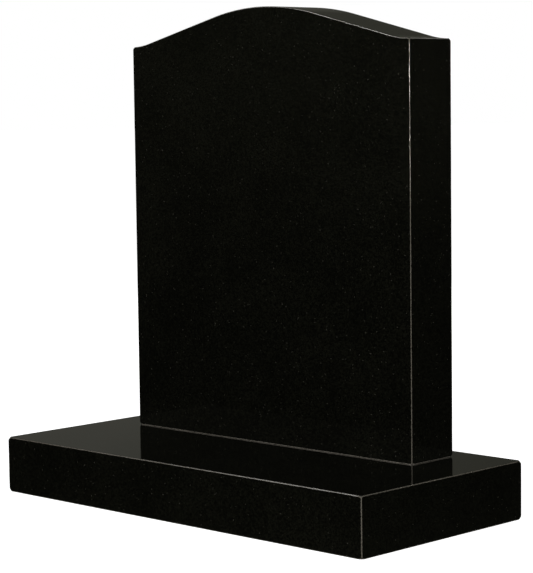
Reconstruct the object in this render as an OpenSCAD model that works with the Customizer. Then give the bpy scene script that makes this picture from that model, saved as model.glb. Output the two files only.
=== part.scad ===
// Headstone of two stones: an upright tablet with an ogee top, standing on a rectangular base.
// Millimetres. The origin is the middle of the base's underside, +Z is up and the front faces -Y.

/* [Base] */
// Length of the base, from side to side
base_length = 686; // [600:1:1200]
// Depth of the base, from front to back
base_depth = 324; // [220:1:600]
// Height of the base
base_height = 80; // [40:1:200]
// Eased arris of the base, measured along each of the two faces that meet
base_arris = 1.5; // [0.5:0.1:8]

/* [Tablet] */
// Width of the tablet
tablet_width = 534; // [400:1:650]
// Height of the tablet, from its foot to the top of its crown
tablet_height = 613; // [200:1:1500]
// Thickness of the tablet
tablet_thickness = 86; // [50:1:200]
// Ledge of the base left showing behind the tablet
back_ledge = 36; // [0:1:150]
// How far the tablet stands to the left of the base's middle
tablet_offset = 13; // [-60:1:60]
// Eased arris of the tablet, measured along each of the two faces that meet
tablet_arris = 1.2; // [0.5:0.1:8]

/* [Ogee top] */
// Radius of the round crown
crown_radius = 400; // [200:5:800]
// Radius of the hollow shoulder at each side
shoulder_radius = 140; // [60:5:550]
// Slope of the straight run between the crown and a shoulder, in degrees
run_slope = 14; // [8:0.5:22]

/* [Colours] */
// Colour of the polished granite
granite = "#161713"; // ["#161713":black, "#3b3e40":dark grey, "#6d7174":mid grey, "#5c302b":red]

/* [Hidden] */
$fn = 180;

// Overshoot of a shape past the faces that trim it
spare = 10;
// How far each stretch of the ogee starts inside the one before it, so that they cross and join cleanly
tuck = 0.002;

// Place of the tablet on the base
tablet_x = -tablet_offset;
tablet_front = base_depth / 2 - back_ledge - tablet_thickness;

// The ogee on one side of the crown, from the middle outwards: crown, straight run, shoulder
half_width = tablet_width / 2;
crown_end = crown_radius * sin(run_slope);
crown_drop = crown_radius * (1 - cos(run_slope));
shoulder_start = half_width - shoulder_radius * sin(run_slope);
shoulder_drop = shoulder_radius * (1 - cos(run_slope));
run_drop = (shoulder_start - crown_end) * tan(run_slope);
shoulder_height = tablet_height - crown_drop - run_drop - shoulder_drop;
rise = tablet_height - shoulder_height;

// A rectangle with eased corners, standing on its lower left corner
module eased_rectangle(width, height, arris) {
  polygon([
    [arris, 0], [width - arris, 0], [width, arris], [width, height - arris],
    [width - arris, height], [arris, height], [0, height - arris], [0, arris]
  ]);
}

// Outline through a disc's axis: full radius in the middle, eased at both rims, with the rims
// drawn in (a solid drum) or flared out (the cutter of a hollow)
module disc_profile(radius, rim_radius, thickness, arris) {
  polygon([
    [0, 0], [rim_radius, 0], [radius, arris],
    [radius, thickness - arris], [rim_radius, thickness], [0, thickness]
  ]);
}

// A disc that lies along Y from 0 to the tablet's thickness, centred on X and Z
module disc(radius, rim_radius) {
  rotate([-90, 0, 0])
    rotate_extrude()
      disc_profile(radius, rim_radius, tablet_thickness, tablet_arris);
}

// A drum whose top is the round crown; outside the crown it lies below the runs
module crown_drum() {
  translate([0, 0, tablet_height - crown_radius])
    disc(crown_radius, crown_radius - tablet_arris);
}

// A long bar whose top face is the straight run on the +X side, from the crown's end outwards;
// outside the run it lies below the hollow shoulder
module run_bar() {
  bar_length = 2 * tablet_width;
  bar_height = 2 * tablet_height;
  intersection() {
    translate([crown_end, 0, tablet_height - crown_drop - tuck])
      rotate([0, run_slope, 0])
        translate([-bar_length / 2, 0, -bar_height])
          rotate([90, 0, 90])
            linear_extrude(bar_length)
              eased_rectangle(tablet_thickness, bar_height, tablet_arris);
    translate([crown_end, -spare, 0])
      cube([half_width, tablet_thickness + 2 * spare, tablet_height]);
  }
}

// A block with the hollow of the shoulder cut out of its top, on the +X side
module shoulder_block() {
  difference() {
    translate([shoulder_start, 0, 0])
      cube([half_width + spare - shoulder_start, tablet_thickness, shoulder_height + shoulder_drop]);
    translate([half_width, 0, shoulder_height + shoulder_radius - 2 * tuck])
      disc(shoulder_radius, shoulder_radius + tablet_arris);
  }
}

// Everything inside the tablet's side faces, with its upright and shoulder-end arrises eased
module tablet_sides() {
  intersection() {
    translate([-half_width, 0, 0])
      linear_extrude(tablet_height)
        eased_rectangle(tablet_width, tablet_thickness, tablet_arris);
    rotate([90, 0, 0])
      translate([0, 0, -tablet_thickness])
        linear_extrude(tablet_thickness)
          polygon([
            [tablet_arris - half_width, 0], [half_width - tablet_arris, 0],
            [half_width, tablet_arris], [half_width, shoulder_height - tablet_arris],
            [half_width - tablet_arris - rise, tablet_height],
            [tablet_arris + rise - half_width, tablet_height],
            [-half_width, shoulder_height - tablet_arris], [-half_width, tablet_arris]
          ]);
  }
}

// Everything above the tablet's foot, with the foot's front and back arrises eased
module tablet_foot() {
  translate([-half_width, 0, 0])
    rotate([90, 0, 90])
      linear_extrude(tablet_width)
        polygon([
          [tablet_arris, 0], [tablet_thickness - tablet_arris, 0],
          [tablet_thickness, tablet_arris], [tablet_thickness, tablet_height],
          [0, tablet_height], [0, tablet_arris]
        ]);
}

// The upright stone
module tablet() {
  color(granite)
    translate([tablet_x, tablet_front, base_height])
      intersection() {
        union() {
          crown_drum();
          for (side = [0, 1])
            mirror([side, 0, 0]) {
              run_bar();
              shoulder_block();
            }
        }
        tablet_sides();
        tablet_foot();
      }
}

// The plinth stone, with all twelve arrises eased
module base() {
  color(granite)
    intersection() {
      translate([-base_length / 2, -base_depth / 2, 0])
        linear_extrude(base_height)
          eased_rectangle(base_length, base_depth, base_arris);
      translate([-base_length / 2, 0, 0])
        rotate([90, 0, 90])
          linear_extrude(base_length)
            translate([-base_depth / 2, 0])
              eased_rectangle(base_depth, base_height, base_arris);
      translate([0, base_depth / 2, 0])
        rotate([90, 0, 0])
          linear_extrude(base_depth)
            translate([-base_length / 2, 0])
              eased_rectangle(base_length, base_height, base_arris);
    }
}

tablet();
base();
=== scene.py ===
# %% [markdown]
# # A polished black granite headstone
#
# The real memorial is two stones. An upright tablet with an ogee top, a round crown that runs
# down into a hollow at each shoulder, stands on a flat rectangular base. Both are sawn from
# black granite, polished to a mirror, and their sharp edges are rubbed off by hand.
# This lesson builds the two stones around a packed construction model, which fixes their sizes.
# All lengths are in metres, +Z is up, and the front of the tablet faces -Y.

# %% Load the construction model
import math

import bmesh
import bpy
from mathutils import Matrix, Vector


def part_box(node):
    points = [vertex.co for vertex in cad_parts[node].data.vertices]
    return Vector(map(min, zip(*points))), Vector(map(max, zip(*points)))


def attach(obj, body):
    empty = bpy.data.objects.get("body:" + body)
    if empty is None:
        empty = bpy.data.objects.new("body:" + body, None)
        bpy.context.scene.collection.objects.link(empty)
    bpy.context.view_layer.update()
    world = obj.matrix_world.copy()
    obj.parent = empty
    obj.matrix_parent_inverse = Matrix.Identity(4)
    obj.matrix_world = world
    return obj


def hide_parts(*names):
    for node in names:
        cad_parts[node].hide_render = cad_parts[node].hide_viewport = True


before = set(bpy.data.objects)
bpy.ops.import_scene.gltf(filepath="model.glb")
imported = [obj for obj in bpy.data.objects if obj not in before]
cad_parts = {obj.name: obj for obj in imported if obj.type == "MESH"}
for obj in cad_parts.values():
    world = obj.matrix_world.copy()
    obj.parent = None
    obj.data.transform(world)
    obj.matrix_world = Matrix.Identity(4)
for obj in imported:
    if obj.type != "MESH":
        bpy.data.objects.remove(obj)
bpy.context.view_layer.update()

for name in ("tablet", "base"):
    low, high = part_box(name)
    print(name, "spans", [round(v, 4) for v in high - low], "m")

# %% [markdown]
# ## The camera
#
# A headstone is best seen from well off to one side with a long lens, so that upright edges stay
# upright and both the front and one side show. The camera comes first, because how fine a detail
# has to be depends on how large it is seen. It is aimed by its turn round the stone, its rise
# above the horizon, its roll about its own axis, and its distance.

# %% Aim the camera
MM = 0.001
camera_turn = math.radians(44.146)
camera_rise = math.radians(5.380)
camera_roll = math.radians(-0.730)
camera_distance = 2.641
camera_target = Vector((0.1840, -0.1604, 0.3293))
focal_length = 130.80 * MM
SENSOR_WIDTH = 36.0 * MM

forward = Vector((
    -math.sin(camera_turn) * math.cos(camera_rise),
    math.cos(camera_turn) * math.cos(camera_rise),
    -math.sin(camera_rise),
))
camera_data = bpy.data.cameras.new("camera")
camera_data.lens = focal_length / MM
camera_data.sensor_width = SENSOR_WIDTH / MM
camera = bpy.data.objects.new("camera", camera_data)
bpy.context.scene.collection.objects.link(camera)
camera.location = camera_target - forward * camera_distance
aim = forward.to_track_quat("-Z", "Y").to_matrix() @ Matrix.Rotation(camera_roll, 3, "Z")
camera.rotation_euler = aim.to_euler()
bpy.context.scene.camera = camera
view_width = camera_distance * camera_data.sensor_width / camera_data.lens
print("camera at", [round(v, 3) for v in camera.location], "sees", round(view_width, 3), "m across")

# %% [markdown]
# ## Writing node trees as formulas
#
# Both the stones' shape and their finish are node trees, and both are mostly arithmetic. Wiring
# Math nodes one at a time hides the arithmetic, so a small class stands for one socket and turns
# Python's operators into Math nodes. A second class makes every other kind of node: it sets the
# node's settings first, because they decide which sockets it has, and then fills the sockets.

# %% A socket that understands arithmetic
class Wire:
    """One output socket of a node tree. Operators on it add Math nodes."""

    def __init__(self, desk, socket):
        self.desk = desk
        self.socket = socket

    def math(self, operation, *others):
        inputs = dict(enumerate((self, *others)))
        return self.desk.add("ShaderNodeMath", {"operation": operation}, inputs)

    def __add__(self, other):
        return self.math("ADD", other)

    def __sub__(self, other):
        return self.math("SUBTRACT", other)

    def __mul__(self, other):
        return self.math("MULTIPLY", other)

    def __truediv__(self, other):
        return self.math("DIVIDE", other)

    def __pow__(self, other):
        return self.math("POWER", other)

    def __rsub__(self, other):
        return self.math("MULTIPLY_ADD", -1.0, other)

    def __lt__(self, other):
        return self.math("LESS_THAN", other)

    def __abs__(self):
        return self.math("ABSOLUTE")

    __radd__, __rmul__ = __add__, __mul__


# %% A desk that makes nodes
class Desk:
    """A node tree, with one method that makes any node in it."""

    def __init__(self, tree):
        self.tree = tree
        tree.nodes.clear()

    def add(self, kind, settings=None, inputs=None, output=None):
        node = self.tree.nodes.new(kind)
        for key, value in (settings or {}).items():
            setattr(node, key, value)
        for key, value in (inputs or {}).items():
            self.fill(self.find(node.inputs, key), value)
        if not len(node.outputs):
            return node
        shown = [socket for socket in node.outputs if socket.enabled]
        return Wire(self, shown[0] if output is None else self.find(node.outputs, output))

    def find(self, sockets, key):
        if isinstance(key, int):
            return sockets[key]
        return next(socket for socket in sockets if socket.name == key and socket.enabled)

    def fill(self, socket, value):
        if isinstance(value, Wire):
            self.tree.links.new(value.socket, socket)
        else:
            socket.default_value = value

    def vector(self, x, y, z):
        return self.add("ShaderNodeCombineXYZ", inputs={"X": x, "Y": y, "Z": z})

    def split(self, vector):
        node = self.add("ShaderNodeSeparateXYZ", inputs={"Vector": vector}).socket.node
        return [Wire(self, socket) for socket in node.outputs]

    def scaled(self, vector, factor):
        inputs = {"Vector": vector, "Scale": factor}
        return self.add("ShaderNodeVectorMath", {"operation": "SCALE"}, inputs)

    def moved(self, vector, offset):
        return self.add("ShaderNodeVectorMath", {"operation": "ADD"}, {0: vector, 1: offset})

    def ramp(self, value, start, end, low=0.0, high=1.0):
        """A smooth step from low to high, as value goes from start to end."""
        inputs = {"Value": value, "From Min": start, "From Max": end, "To Min": low, "To Max": high}
        return self.add("ShaderNodeMapRange", {"interpolation_type": "SMOOTHSTEP"}, inputs)

    def blend(self, factor, first, second):
        """One value or the other, or a share of both."""
        return first + factor * (second - first)

    def smaller(self, first, second):
        return first.math("MINIMUM", second)

    def larger(self, first, second):
        return first.math("MAXIMUM", second)


# %% [markdown]
# ## The shape of an eased stone
#
# A mason never leaves a granite edge sharp: it would chip at the first knock. Each edge is rubbed
# off with a hand stone into a narrow strip, the arris, and where three arrises meet the corner is
# dubbed off too. A Bevel modifier would give a perfectly even strip. A rule in Geometry Nodes can
# let the strip's width wander a little, as the mason's hand does, and it serves both stones.
#
# The rule starts from a cube whose points are whole numbers of steps apart. Along each axis the
# last few steps at both ends belong to the arris and all others to the flat face. A point's steps
# into the arris, as a share from 0 to 1 on each axis, make a short vector. Divided by its own
# length, that vector lands on a rounded edge. The length is not measured as the crow flies but
# with a power near 1, which gives the flat strip with softened borders that rubbing leaves.

# %% Sizes of the easing
STEP = 2 * MM  # points along every edge are this far apart
ARRIS_STEPS = 3  # rows of points from the border of an arris to its middle
ARRIS_POWER = 1.12  # 1 would be a flat strip, 2 a full round
DUB = 3.8  # how deep the corners are dubbed off, in widths of the arris
WANDER_LENGTH = 28 * MM  # the length over which a hand-rubbed arris drifts in width
WANDER = 0.22  # how much of its width an arris gains and loses
EASED_FROM = 0.001  # a point further into an arris than this is not part of a flat


# %% A node group with named inputs
def open_tree(name, inputs):
    """A geometry node group with these float inputs, its desk, and a wire for each input."""
    tree = bpy.data.node_groups.new(name, "GeometryNodeTree")
    desk = Desk(tree)
    for label in inputs:
        tree.interface.new_socket(label, in_out="INPUT", socket_type="NodeSocketFloat")
    tree.interface.new_socket("Material", in_out="INPUT", socket_type="NodeSocketMaterial")
    tree.interface.new_socket("Stone", in_out="OUTPUT", socket_type="NodeSocketGeometry")
    group_input = tree.nodes.new("NodeGroupInput")
    wires = {socket.name: Wire(desk, socket) for socket in group_input.outputs if socket.name}
    return desk, wires


def close_tree(desk, wires, cube, place, eased):
    """Moves the cube's points to their places and finishes the stone."""
    stone = desk.add("GeometryNodeStoreNamedAttribute", {"data_type": "FLOAT", "domain": "POINT"},
                     {"Geometry": cube, "Name": "eased", "Value": eased})
    stone = desk.add("GeometryNodeSetPosition", inputs={"Geometry": stone, "Position": place})
    stone = desk.add("GeometryNodeRealizeInstances", inputs={"Geometry": stone})
    inputs = {"Geometry": stone, "Material": wires["Material"]}
    stone = desk.add("GeometryNodeSetMaterial", inputs=inputs)
    desk.add("NodeGroupOutput", inputs={"Stone": stone})


# %% Steps of a cube to places on an eased block
def eased_block(desk, sizes, arris, seed):
    """A closed block on the origin's level with wandering arrises and dubbed corners."""
    counts = [(size / STEP).math("FLOOR") for size in sizes]
    halves = [size * 0.5 for size in sizes]
    inputs = {f"Vertices {axis}": count + (2 * ARRIS_STEPS + 1) for axis, count in zip("XYZ", counts)}
    inputs["Size"] = desk.vector(*(count + 2 * ARRIS_STEPS for count in counts))
    cube = desk.add("GeometryNodeMeshCube", inputs=inputs)
    steps = desk.split(desk.add("GeometryNodeInputPosition"))

    # The width of the arris at this point of the stone
    nominal = [step / count * size for step, count, size in zip(steps, counts, sizes)]
    noise = desk.add("ShaderNodeTexNoise", {"noise_dimensions": "4D"}, {
        "Vector": desk.vector(*nominal), "W": seed,
        "Scale": 1 / WANDER_LENGTH, "Detail": 2.0, "Roughness": 0.6,
    })
    width = arris * (1 + (noise - 0.5) * (2 * WANDER))

    # The flat part's place along each axis, and the share of the arris that is crossed there
    flats = [
        desk.smaller(abs(step) / (count * 0.5), 1.0) * (half - width)
        for step, count, half in zip(steps, counts, halves)
    ]
    shares = [
        desk.larger((abs(step) - count * 0.5) / ARRIS_STEPS, 0.0) for step, count in zip(steps, counts)
    ]
    powers = [share ** ARRIS_POWER for share in shares]
    length = desk.larger((powers[0] + powers[1] + powers[2]) ** (1 / ARRIS_POWER), 0.001)
    reaches = [flat + width * share / length for flat, share in zip(flats, shares)]

    # How much the dubbed corner takes off on each axis
    depths = [half - reach for half, reach in zip(halves, reaches)]
    cut = desk.larger(width * DUB - (depths[0] + depths[1] + depths[2]), 0.0) / 3
    places = [step.math("SIGN") * (reach - cut) for step, reach in zip(steps, reaches)]
    places[2] = places[2] + halves[2]
    eased = shares[0] + shares[1] + shares[2] - 1
    return cube, places, eased


# %% [markdown]
# ## The base
#
# The base is the plinth stone: a plain slab, 686 mm long, whose only shaping is its easing. The
# rule above makes all of it. It takes its three sizes from the construction model, so that the
# finished stone fills the same box.

# %% From a tree to a plain mesh
def join_flats(mesh):
    """Joins the many small squares of each flat into one face, and leaves the arrises fine."""
    work = bmesh.new()
    work.from_mesh(mesh)
    eased = work.verts.layers.float["eased"]
    flats = {}
    for face in work.faces:
        if all(vert[eased] < EASED_FROM for vert in face.verts):
            flats.setdefault(tuple(round(part, 3) for part in face.normal), []).append(face)
    for faces in flats.values():
        bmesh.ops.dissolve_faces(work, faces=faces, use_verts=True)
    work.to_mesh(mesh)
    work.free()
    return len(flats)


def stone_from_tree(name, desk, values, material):
    """Runs a tree and returns its stone as a plain mesh at the origin."""
    obj = bpy.data.objects.new(name, bpy.data.meshes.new(name))
    bpy.context.scene.collection.objects.link(obj)
    shape = obj.modifiers.new("shape", "NODES")
    shape.node_group = desk.tree
    for item in desk.tree.interface.items_tree:
        if item.in_out == "INPUT":
            shape[item.identifier] = material if item.name == "Material" else float(values[item.name])
    evaluated = obj.evaluated_get(bpy.context.evaluated_depsgraph_get())
    mesh = bpy.data.meshes.new_from_object(evaluated)
    obj.modifiers.clear()
    flats = join_flats(mesh)
    obj.data = mesh
    mesh.name = name
    obj.modifiers.new("flats stay flat", "WEIGHTED_NORMAL").weight = 100
    mesh.calc_loop_triangles()
    triangles = len(mesh.loop_triangles)
    print(name, "has", flats, "flats,", len(mesh.vertices), "points and", triangles, "triangles")
    return obj


def low_middle(name):
    """The middle of a construction node's underside."""
    low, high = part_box(name)
    return Vector(((low.x + high.x) / 2, (low.y + high.y) / 2, low.z))


def base_tree():
    desk, size = open_tree("eased slab", ("Length", "Depth", "Height", "Arris", "Seed"))
    sizes = [size["Length"], size["Depth"], size["Height"]]
    cube, places, eased = eased_block(desk, sizes, size["Arris"], size["Seed"])
    close_tree(desk, size, cube, desk.vector(*places), eased)
    return desk


# %% [markdown]
# ## The tablet
#
# The tablet is the same eased block with an ogee cut along its top. A mason sets an ogee out with
# a compass and a straightedge: the round crown, a straight run that leaves it without a kink, and
# a hollow at each shoulder that ends level. The rule lowers each point by how far the ogee has
# fallen from the crown there: all of it at the top, and less and less towards the foot, so that
# the rows of points stay evenly spread.

# %% A tree for the tablet
def ogee_fall(desk, x, width, crown, shoulder, slope):
    """How far the top lies below the crown, at a distance x from the middle."""
    half = width * 0.5
    away = abs(x)
    sine, cosine, tangent = (slope.math(kind) for kind in ("SINE", "COSINE", "TANGENT"))
    crown_end = crown * sine
    shoulder_start = half - shoulder * sine

    on_crown = desk.smaller(away, crown_end)
    crown_fall = crown - (crown * crown - on_crown * on_crown).math("SQRT")
    run_fall = (desk.larger(desk.smaller(away, shoulder_start), crown_end) - crown_end) * tangent
    to_side = desk.larger(desk.smaller(half - away, shoulder * sine), 0.0)
    still_to_fall = shoulder - (shoulder * shoulder - to_side * to_side).math("SQRT")
    shoulder_fall = shoulder * (1 - cosine) - still_to_fall
    return crown_fall + run_fall + shoulder_fall


def tablet_tree():
    desk, size = open_tree("ogee tablet", (
        "Width", "Thickness", "Height", "Crown Radius", "Shoulder Radius", "Run Slope", "Arris", "Seed",
    ))
    sizes = [size["Width"], size["Thickness"], size["Height"]]
    cube, (x, y, z), eased = eased_block(desk, sizes, size["Arris"], size["Seed"])
    crown, shoulder, slope = size["Crown Radius"], size["Shoulder Radius"], size["Run Slope"]
    fall = ogee_fall(desk, x, size["Width"], crown, shoulder, slope)

    # Nothing is lowered within two arris widths of the foot. The full fall is reached two widths
    # below the top.
    above_foot = (z - 2 * size["Arris"]) / (size["Height"] - 4 * size["Arris"])
    share = desk.larger(desk.smaller(above_foot, 1.0), 0.0)
    close_tree(desk, size, cube, desk.vector(x, y, z - fall * share), eased)
    return desk


# %% [markdown]
# ## Setting the two stones out
#
# The overall sizes come from the construction model. Only the easing and the three numbers of the
# ogee are given here: the crown's radius, the shoulder's radius and the slope of the straight run.
# Each tree is run once, and its result is kept as a plain mesh with a material to be replaced later.

# %% Make both stones
BASE_ARRIS = 1.5 * MM
TABLET_ARRIS = 1.2 * MM
CROWN_RADIUS = 400 * MM
SHOULDER_RADIUS = 140 * MM
RUN_SLOPE = math.radians(14)

plain = bpy.data.materials.new("plain")
low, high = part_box("base")
base = stone_from_tree("base_stone", base_tree(), {
    "Length": high.x - low.x, "Depth": high.y - low.y, "Height": high.z - low.z,
    "Arris": BASE_ARRIS, "Seed": 3,
}, plain)
base.data.transform(Matrix.Translation(low_middle("base")))

low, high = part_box("tablet")
tablet = stone_from_tree("tablet_stone", tablet_tree(), {
    "Width": high.x - low.x, "Thickness": high.y - low.y, "Height": high.z - low.z,
    "Crown Radius": CROWN_RADIUS, "Shoulder Radius": SHOULDER_RADIUS, "Run Slope": RUN_SLOPE,
    "Arris": TABLET_ARRIS, "Seed": 8,
}, plain)
tablet.data.transform(Matrix.Translation(low_middle("tablet")))

# %% [markdown]
# ## Black granite
#
# What the trade calls black granite is a gabbro: dark crystals of a few millimetres, grown into
# each other, with paler feldspar laths between them and a rare bright grain. Polished, it is
# almost a black mirror and the crystals barely show. Where the polish is broken, on an arris or a
# sawn face, every crystal scatters light and the same stone looks grey.
# So one recipe gives both stones three finishes of one crystal pattern. The pattern is made from
# cells in Object coordinates, so it runs through the stone and round its edges as a real one does.
# The base is sawn underneath. The tablet's foot arris is painted pale, a painted highlight
# that brightens the downward-facing line at its foot.

# %% Sizes and tints of the crystals
CRYSTAL = 2.1 * MM
GRAIN = 1.0 * MM
CLOUD = 85 * MM
BLACK_CRYSTAL = (0.0006, 0.0006, 0.0004, 1)
OLIVE_CRYSTAL = (0.0082, 0.0085, 0.0058, 1)
WARM_CRYSTAL = (0.0066, 0.0065, 0.0044, 1)
BRIGHT_GRAIN = (0.075, 0.072, 0.060, 1)
HONED_TINT = (0.170, 0.154, 0.130, 1)
SAWN_TINT = (0.105, 0.105, 0.100, 1)
# Painted highlight: a pale tint on the tablet's foot arris, a downward-facing line that gets little
# light
PAINTED_FOOT_HIGHLIGHT = (0.55, 0.50, 0.43, 1)
FOOT_HIGHLIGHT_TOP = 81.3 * MM  # the painted highlight reaches this high; the joint is at the base's top, 80 mm up

# %% How crystals turn into a tint
BEND = 1.2 * CRYSTAL  # how far the cells' borders are bent out of straight
CRYSTAL_SHARE = 0.45  # of the paleness, the part that comes from the large crystals
GRAIN_SHARE = 0.55  # and the part that comes from the small grains
CLOUD_LEVEL = 0.55  # the paleness between clouds
CLOUD_GAIN = 0.9  # what a cloud adds to it
OLIVE_RANGE = (0.30, 0.88)  # the paleness at which a crystal begins to turn olive, and has turned
WARM_RANGE = (0.72, 0.95)  # the same for a warm tint, by the crystal's random number
BRIGHT_RANGE = (0.996, 0.9998)  # the same for the few bright grains, by the grain's number
HONED_LEVEL = 0.55  # how much of its tint the blackest crystal has on an arris
HONED_GAIN = 0.9  # what paleness adds to it
SAWN_LEVEL = 0.6  # the same two for the underside
SAWN_GAIN = 0.6

# %% Sizes of the three finishes
POLISH = 0.045  # roughness of the blackest polished crystal
POLISH_SPREAD = 0.03  # what the palest crystal adds to it
HONED = 0.21  # roughness of an arris
SAWN = 0.62  # roughness of the underside
FRAY = 0.25  # how far single crystals shift the border of an arris
HONED_RANGE = (0.12, 0.36)  # how far into an arris the polish begins to break, and is gone
HONED_RELIEF = 0.02 * MM  # how far crystals stand out on an arris
SAW_PITCH = 5.5 * MM  # from one saw mark to the next
SAW_ARM = 1.4  # metres behind the stone's middle, the point that the blade swings about
SAW_DRIFT = 30 * MM  # the length over which the marks stray
SAW_STRAY = 5  # how far they stray, in radians of one mark
SAW_RELIEF = 0.10 * MM
SAWN_GRAIN_RELIEF = 0.08 * MM
SAWN_BELOW = 0.4 * MM  # all that lies lower than this is sawn
REFRACTION = 1.56
BLACK = (0, 0, 0, 1)


# %% The crystal pattern
def mixed(desk, factor, first, second):
    """Blends two colours; a factor or a colour may be a wire."""
    return desk.add("ShaderNodeMix", {"data_type": "RGBA"}, {"Factor": factor, "A": first, "B": second})


def cells(desk, place, size, output):
    """Random cells of one size: their colour is three random numbers for each cell."""
    inputs = {"Vector": place, "Scale": 1 / size, "Randomness": 1.0}
    return desk.add("ShaderNodeTexVoronoi", {"feature": "F1"}, inputs, output)


def soft_noise(desk, place, size, detail=2.0):
    return desk.add("ShaderNodeTexNoise", None, {"Vector": place, "Scale": 1 / size, "Detail": detail})


def crystals(desk, place):
    """The colour of the polished stone, and how pale each crystal is from 0 to 1."""
    inputs = {"Vector": place, "Scale": 1 / CRYSTAL, "Detail": 1.0}
    bend = desk.add("ShaderNodeTexNoise", None, inputs, "Color")
    bent = desk.moved(place, desk.scaled(desk.moved(bend, (-0.5, -0.5, -0.5)), BEND))
    crystal, tint, _ = desk.split(cells(desk, bent, CRYSTAL, "Color"))
    grain, rare, _ = desk.split(cells(desk, place, GRAIN, "Color"))
    cloud = soft_noise(desk, place, CLOUD, 3.0)

    pale = crystal * CRYSTAL_SHARE + grain * GRAIN_SHARE
    pale = pale * (CLOUD_LEVEL + CLOUD_GAIN * cloud)
    colour = mixed(desk, desk.ramp(pale, *OLIVE_RANGE), BLACK_CRYSTAL, OLIVE_CRYSTAL)
    colour = mixed(desk, desk.ramp(tint, *WARM_RANGE) * pale, colour, WARM_CRYSTAL)
    colour = mixed(desk, desk.ramp(rare, *BRIGHT_RANGE), colour, BRIGHT_GRAIN)
    return colour, pale


# %% One stone, three finishes
def granite(name, sawn_underside):
    """Polished faces, honed arrises, and a sawn underside or a painted highlight on the foot."""
    material = bpy.data.materials.new(name)
    material.use_nodes = True
    desk = Desk(material.node_tree)
    place = desk.add("ShaderNodeTexCoord", output="Object")
    colour, pale = crystals(desk, place)

    # Honed: where the hand stone has broken the polish
    eased = desk.add("ShaderNodeAttribute", {"attribute_name": "eased"}, output="Fac")
    frayed = eased + (pale - 0.5) * FRAY
    honed = desk.ramp(frayed, *HONED_RANGE)
    honed_colour = mixed(desk, HONED_LEVEL + HONED_GAIN * pale, BLACK, HONED_TINT)
    colour = mixed(desk, honed, colour, honed_colour)
    roughness = POLISH + POLISH_SPREAD * pale + honed * (HONED - POLISH)
    height = honed * (pale * HONED_RELIEF)

    if sawn_underside:
        x, y, z = desk.split(place)
        sawn = z < SAWN_BELOW
        # The blade swings on a long arm, so its marks are wide arcs a few millimetres apart
        arc = (x * x + (y - SAW_ARM) * (y - SAW_ARM)).math("SQRT")
        stray = soft_noise(desk, place, SAW_DRIFT) * SAW_STRAY
        stroke = (arc * (2 * math.pi / SAW_PITCH) + stray).math("SINE")
        sawn_colour = mixed(desk, SAWN_LEVEL + SAWN_GAIN * pale, BLACK, SAWN_TINT)
        colour = mixed(desk, sawn, colour, sawn_colour)
        roughness = desk.blend(sawn, roughness, SAWN)
        height = height + sawn * (stroke * SAW_RELIEF + pale * SAWN_GRAIN_RELIEF)
    else:
        # Only the foot's arris is painted pale, a painted highlight on the line at the tablet's foot
        painted_foot_highlight = (desk.split(place)[2] < FOOT_HIGHLIGHT_TOP) * honed
        colour = mixed(desk, painted_foot_highlight, colour, PAINTED_FOOT_HIGHLIGHT)

    normal = desk.add("ShaderNodeBump", None, {"Strength": 1.0, "Distance": 1.0, "Height": height})
    shader = desk.add("ShaderNodeBsdfPrincipled", None, {
        "Base Color": colour, "Roughness": roughness, "Normal": normal, "IOR": REFRACTION,
    })
    desk.add("ShaderNodeOutputMaterial", None, {"Surface": shader})
    return material


for stone, name, is_base in ((tablet, "tablet_granite", False), (base, "base_granite", True)):
    stone.data.materials.clear()
    stone.data.materials.append(granite(name, sawn_underside=is_base))
    print(name, "has", len(stone.data.materials[0].node_tree.nodes), "nodes")

# %% [markdown]
# ## Light for a black mirror
#
# A polished black stone has almost no colour of its own: it shows what stands around it. The
# studio is kept dark at the level of the stone, so that its upright faces stay black. A dim,
# folded backdrop rises all round from just above eye level and gives the base's top its grey
# sheen. A faint haze keeps the faces from going quite black; it is thinnest just below eye level,
# where the upright faces look. The camera itself sees plain white.
#
# The world is a formula of three numbers: how far a ray points east, north and up. Each `ramp`
# below gives a level at one end of a range and another level at the other end.

# %% Levels of the room
WEST_LEVEL = 0.080  # the backdrop's brightness in the far west
EAST_LEVEL = 0.021  # and everywhere else
FRONT_SHARE = 0.35  # how much of the backdrop is left in front of the tablet
HIGH_SHARE = 0.60  # and high up
FOLD_STRETCH = 0.4  # a fold's height, as a share of its width
FOLD_SCALE = 60.0
FOLD_DEPTH = 0.7  # how much of the backdrop's brightness is in its folds
HAZE_LOW = 0.013  # the haze just below eye level
HAZE_HIGH = 0.035  # and above it
GROUND_GLOW = 0.03  # what the ground adds far below
SKY_GLOW = 0.05  # and what comes from straight overhead
FLOOR_RADIUS = 30

# %% The room
world = bpy.data.worlds.new("studio")
bpy.context.scene.world = world
world.use_nodes = True
desk = Desk(world.node_tree)
towards = desk.add("ShaderNodeTexCoord", output="Generated")
east, north, up = desk.split(towards)

# The backdrop is brightest in the west, dimmer in front of the tablet, and lies in level folds
side = desk.ramp(east, -0.85, -0.53, WEST_LEVEL, EAST_LEVEL)
side = side * desk.ramp(north, -0.6, 0.0, FRONT_SHARE, 1.0)
inputs = {"Vector": desk.vector(east * FOLD_STRETCH, 0.0, up), "Scale": FOLD_SCALE, "Detail": 2.0}
fold = desk.add("ShaderNodeTexNoise", None, inputs)
rise = desk.ramp(up, 0.03, 0.10) * desk.ramp(up, 0.20, 0.45, 1.0, HIGH_SHARE)
backdrop = rise * side * (1 - FOLD_DEPTH / 2 + FOLD_DEPTH * fold)

# The haze thins out below eye level, the ground glows far below, and a little comes from above
haze = desk.ramp(up, -0.12, 0.04, HAZE_LOW, HAZE_HIGH) + desk.ramp(up, -0.34, -0.15, GROUND_GLOW, 0.0)
room = backdrop + haze + desk.ramp(up, 0.3, 1.0, 0.0, SKY_GLOW)

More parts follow.
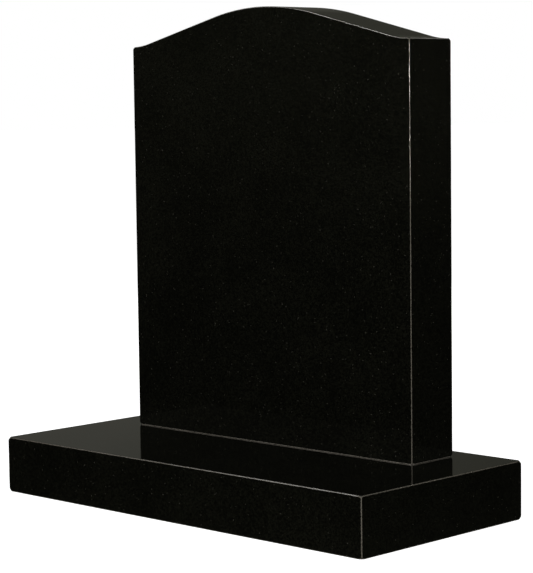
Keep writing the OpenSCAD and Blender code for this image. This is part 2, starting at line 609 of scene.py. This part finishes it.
# The room is slightly warm, and the haze is olive
green = room * 0.97 + haze * 0.055
blue = room * 0.90 - haze * 0.18
inputs = {"Color": desk.vector(room, green, blue), "Strength": 1.0}
grey = desk.add("ShaderNodeBackground", None, inputs)
white = desk.add("ShaderNodeBackground", None, {"Color": (1, 1, 1, 1), "Strength": 1.0})
seen = desk.add("ShaderNodeLightPath", output="Is Camera Ray")
shown = desk.add("ShaderNodeMixShader", None, {0: seen, 1: grey, 2: white})
desk.add("ShaderNodeOutputWorld", None, {"Surface": shown})
bpy.context.scene.view_settings.view_transform = "Standard"
print("the room has", len(world.node_tree.nodes), "nodes")


# %% [markdown]
# ## A floor that only the camera sees
#
# The floor glows white, so that the stones stand on nothing but paper. Its glow is kept out of the
# polish and off the stones, because light from below would wash out the black faces.

# %% The floor
bpy.ops.mesh.primitive_circle_add(vertices=96, radius=FLOOR_RADIUS, fill_type="NGON")
floor = bpy.context.object
floor.name = "floor"
floor_material = bpy.data.materials.new("pale_floor")
floor_material.use_nodes = True
desk = Desk(floor_material.node_tree)
paper = desk.add("ShaderNodeBsdfPrincipled", None, {
    "Base Color": (0.9, 0.9, 0.9, 1), "Roughness": 0.9,
    "Emission Color": (1, 1, 1, 1), "Emission Strength": 1.0,
})
desk.add("ShaderNodeOutputMaterial", None, {"Surface": paper})
floor.data.materials.append(floor_material)
floor.visible_glossy = False
floor.visible_diffuse = False
print("the floor is", 2 * FLOOR_RADIUS, "m across")


# %% [markdown]
# ## Soft boxes, seen and unseen
#
# The arrises are matt, so they catch light from anywhere, and soft boxes round the stones draw
# them as fine pale lines. The flat faces are mirrors, and in a mirror a soft box is a white
# rectangle. So most boxes light the arrises but are hidden from mirror rays: of the six below, only
# the one overhead and the one on the left may be mirrored. The box beside the camera lights the
# arrises that face it, on the tablet's near corner and the base's.

# %% The soft boxes
def soft_box(name, place, size, power, mirrored=False, target=(0, 0, 0.35)):
    """A square soft box aimed at the middle of the stones, or at another target."""
    light = bpy.data.lights.new(name, "AREA")
    light.shape = "SQUARE"
    light.size = size
    light.energy = power
    box = bpy.data.objects.new(name, light)
    bpy.context.scene.collection.objects.link(box)
    box.location = place
    box.visible_glossy = mirrored
    aim = Vector(target) - box.location
    box.rotation_euler = aim.to_track_quat("-Z", "Y").to_euler()
    print("soft box", name, "hangs", round(aim.length, 2), "m away")
    return box


soft_box("overhead", (-0.3, -0.2, 2.9), 1.6, 3, mirrored=True)
soft_box("beside_camera", (2.55, -1.95, 0.81), 0.5, 31)
soft_box("front", (0.9, -2.9, 0.45), 1.0, 24)
soft_box("left", (-1.2, -0.6, 1.9), 0.8, 6, mirrored=True)
soft_box("behind", (-1.6, 2.6, 1.2), 1.2, 24)
soft_box("right", (2.4, 0.5, 1.8), 0.9, 0.5)


# %% [markdown]
# ## Three glints
#
# The bright stretches of an arris are mirror images of a lamp in its softened border. Three small
# boxes draw them: one for the tablet's near corner, one for the front of its ogee and one for its
# shoulder. Each carries a grid that narrows its light to a cone a few degrees wide, aimed at that
# arris, so that it shows there and in as little else of the polish as can be.

# %% The gridded boxes
def gridded_box(name, place, size, power, spread, target):
    """A soft box with a grid, which sends its light within a narrow cone at one arris."""
    box = soft_box(name, place, size, power, mirrored=True, target=target)
    box.data.spread = math.radians(spread)


gridded_box("corner_glint", (2.577, -1.920, 0.667), 0.35, 0.085, 5.7, (0.254, 0.040, 0.620))
gridded_box("crown_glint", (-0.985, -0.290, 2.870), 0.50, 0.055, 10.0, (0.150, 0.040, 0.665))
gridded_box("shoulder_glint", (0.206, 1.620, 1.920), 0.35, 0.006, 10.0, (0.254, 0.083, 0.643))

# %% [markdown]
# ## Handing the stones over
#
# Each finished stone stands for its construction node, which is hidden, and moves with the one
# body that the memorial has.

# %% Ride and replace
for stone, name in ((tablet, "tablet"), (base, "base")):
    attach(stone, "root")
    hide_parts(name)
